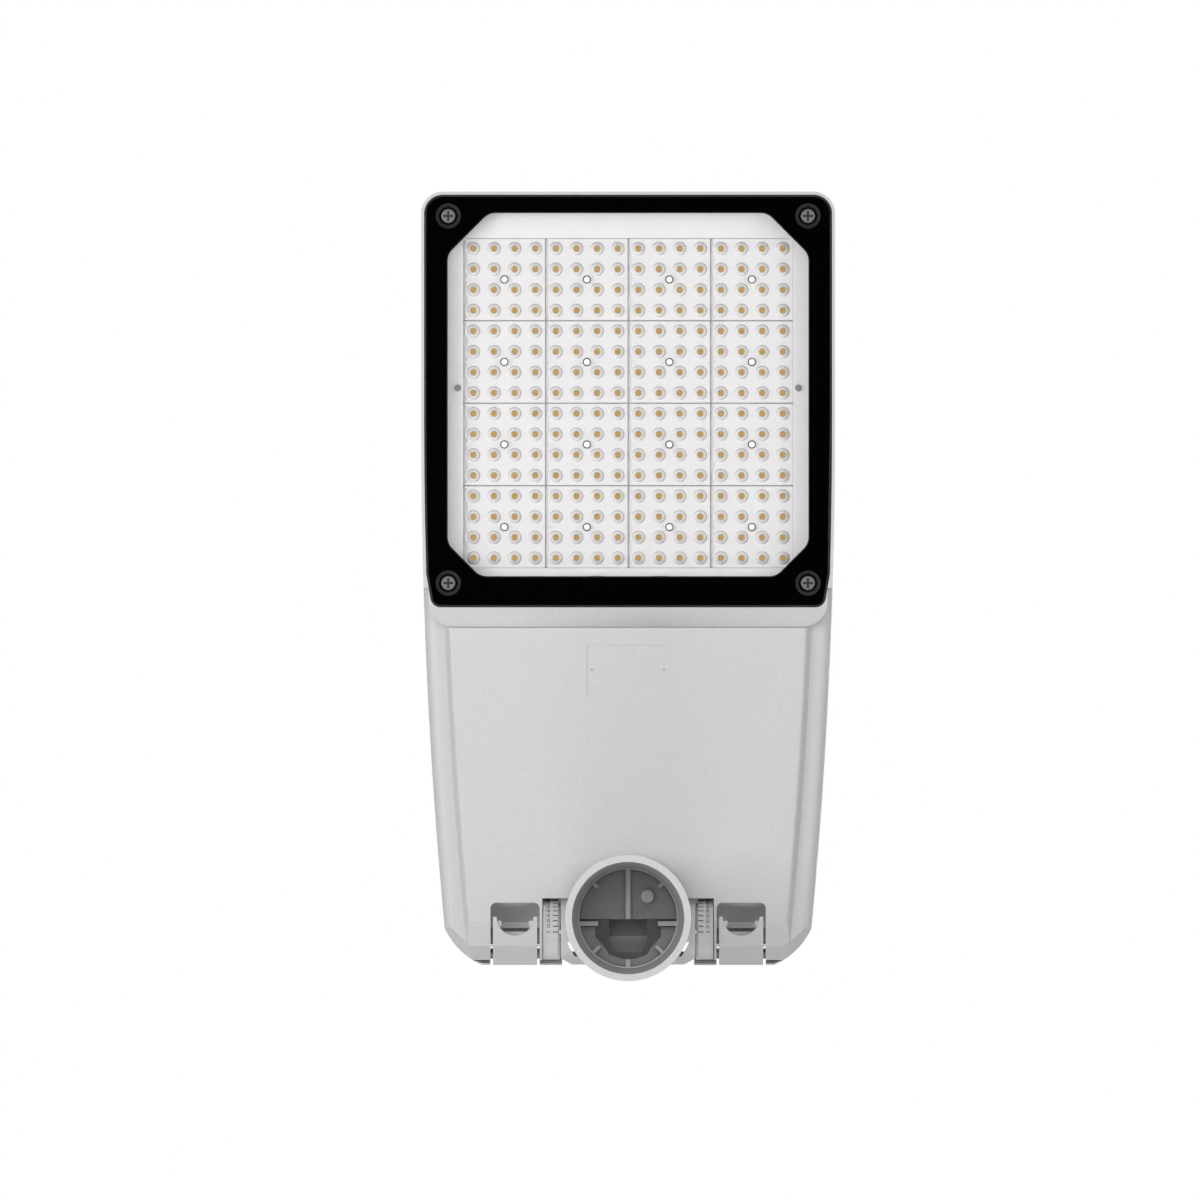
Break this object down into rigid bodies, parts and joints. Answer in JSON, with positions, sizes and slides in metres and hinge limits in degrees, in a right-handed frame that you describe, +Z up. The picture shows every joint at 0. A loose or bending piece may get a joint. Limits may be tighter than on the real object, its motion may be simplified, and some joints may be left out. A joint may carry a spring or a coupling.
{
  "type": "led street light",
  "caption": "Flat LED street light with a glazed lens array in a black frame, a finned top, a latched gear bay and a tilting spigot that fits over a pole end.",
  "frame": {"origin": "On the spigot's axis, where the end of the pole stops inside it.", "axes": "+Z is up, so the light shines to -Z and the pole leaves to -Z. The nose of the head points to -Y and the pole side to +Y. The tilt axis lies along X."},
  "size_m": [0.251, 0.4785, 0.1542],
  "materials": {
    "grey_casting": "silver-grey satin powder coat",
    "black_frame": "black gloss",
    "clear_glass": "clear flat glass",
    "clear_lens": "clear moulded optic",
    "white_board": "white solder mask",
    "white_metal": "white satin",
    "white_plastic": "white matte",
    "dark_plastic": "black matte",
    "seal_rubber": "black rubber",
    "steel_fixings": "stainless steel"
  },
  "bodies": {
    "spigot": {"pole_spigot": "grey_casting", "pole_screws": "steel_fixings", "pivot_bolts": "steel_fixings", "tilt_dial_left": "grey_casting", "tilt_dial_right": "grey_casting"},
    "head": {"lamp_housing": "grey_casting", "glass_frame": "black_frame", "glass_pane": "clear_glass", "glass_gasket": "seal_rubber", "frame_screws": "steel_fixings", "led_boards": "white_board", "lens_plates": "clear_lens", "module_screws": "steel_fixings", "reflector_tray": "white_metal", "tray_screws": "steel_fixings", "gear_pan": "grey_casting", "bay_gasket": "seal_rubber", "hinge_pins": "steel_fixings", "latch_pins": "steel_fixings", "gear_driver": "white_metal", "driver_screws": "steel_fixings", "surge_protector": "dark_plastic", "surge_screws": "steel_fixings", "terminal_block": "white_plastic", "terminal_screws": "steel_fixings", "cord_clamp": "dark_plastic", "clamp_screws": "steel_fixings", "cable_grommet": "seal_rubber", "wire_grommet": "seal_rubber", "vent_plug": "dark_plastic", "earth_screw": "steel_fixings", "joint_screws": "steel_fixings"},
    "lid": {"gear_lid": "grey_casting"},
    "latch_left": {"latch_left": "grey_casting"},
    "latch_right": {"latch_right": "grey_casting"}
  },
  "joints": [
    {"name": "head_tilt", "type": "hinge", "parent": "spigot", "child": "head", "pos_m": [0, 0.0084, 0.032], "axis": [-1, 0, 0], "range_deg": [-5, 90]},
    {"name": "lid_hinge", "type": "hinge", "parent": "head", "child": "lid", "pos_m": [0, -0.1763, 0.07466], "axis": [1, 0, 0], "range_deg": [0, 85]},
    {"name": "latch_left_pull", "type": "hinge", "parent": "head", "child": "latch_left", "pos_m": [-0.0685, 0.0165, 0.032], "axis": [1, 0, 0], "range_deg": [0, 20]},
    {"name": "latch_right_pull", "type": "hinge", "parent": "head", "child": "latch_right", "pos_m": [0.0685, 0.0165, 0.032], "axis": [1, 0, 0], "range_deg": [0, 20]}
  ]
}
